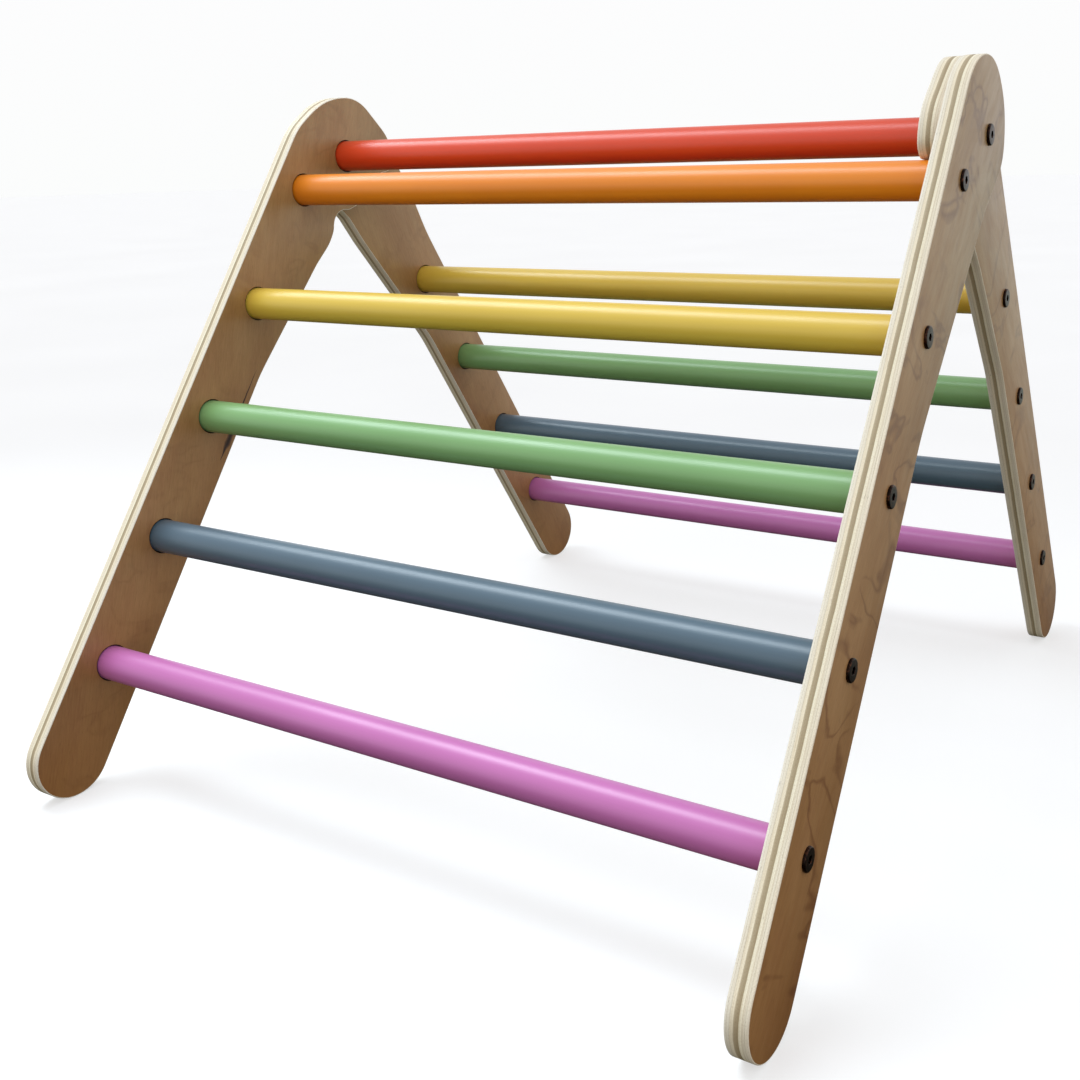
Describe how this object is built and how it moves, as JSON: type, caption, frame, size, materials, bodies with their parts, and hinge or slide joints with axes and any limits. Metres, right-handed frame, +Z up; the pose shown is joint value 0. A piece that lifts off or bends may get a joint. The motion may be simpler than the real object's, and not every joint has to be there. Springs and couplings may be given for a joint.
{
  "type": "folding climbing triangle",
  "caption": "Folding wooden climbing triangle for toddlers: two plywood-sided ladders with round coloured rungs, hinged along the top rung.",
  "frame": {"origin": "on the floor, midway between the four rounded feet with the triangle open", "axes": "+X along the rungs, -Y towards the front ladder's feet, +Z up"},
  "size_m": [0.6955, 0.8476, 0.5989],
  "materials": {
    "plywood": "taupe-brown veneer with a satin varnish, pale layered edges",
    "paint_red": "satin red paint on a turned dowel",
    "paint_orange": "satin orange paint on a turned dowel",
    "paint_yellow": "satin yellow paint on a turned dowel",
    "paint_green": "satin green paint on a turned dowel",
    "paint_grey": "satin grey paint on a turned dowel",
    "paint_pink": "satin pink paint on a turned dowel",
    "dark_bolt": "dark bronze, semi-gloss",
    "insert_steel": "zinc-plated",
    "nylon": "natural nylon"
  },
  "bodies": {
    "front_ladder": {"front_left_panel": "plywood", "front_right_panel": "plywood", "top_rung_red": "paint_red", "front_rung_orange": "paint_orange", "front_rung_yellow": "paint_yellow", "front_rung_green": "paint_green", "front_rung_grey": "paint_grey", "front_rung_pink": "paint_pink", "front_left_bolts": "dark_bolt", "front_right_bolts": "dark_bolt", "front_inserts": "insert_steel", "left_pivot_bolt": "dark_bolt", "right_pivot_bolt": "dark_bolt", "left_pivot_washer": "nylon", "right_pivot_washer": "nylon"},
    "rear_ladder": {"rear_left_panel": "plywood", "rear_right_panel": "plywood", "rear_rung_yellow": "paint_yellow", "rear_rung_green": "paint_green", "rear_rung_grey": "paint_grey", "rear_rung_pink": "paint_pink", "rear_left_bolts": "dark_bolt", "rear_right_bolts": "dark_bolt", "rear_inserts": "insert_steel", "left_pivot_bush": "nylon", "right_pivot_bush": "nylon"}
  },
  "joints": [
    {"name": "fold_hinge", "type": "hinge", "parent": "front_ladder", "child": "rear_ladder", "pos_m": [0, 0, 0.54039], "axis": [-1, 0, 0], "range_deg": [0, 68]}
  ]
}
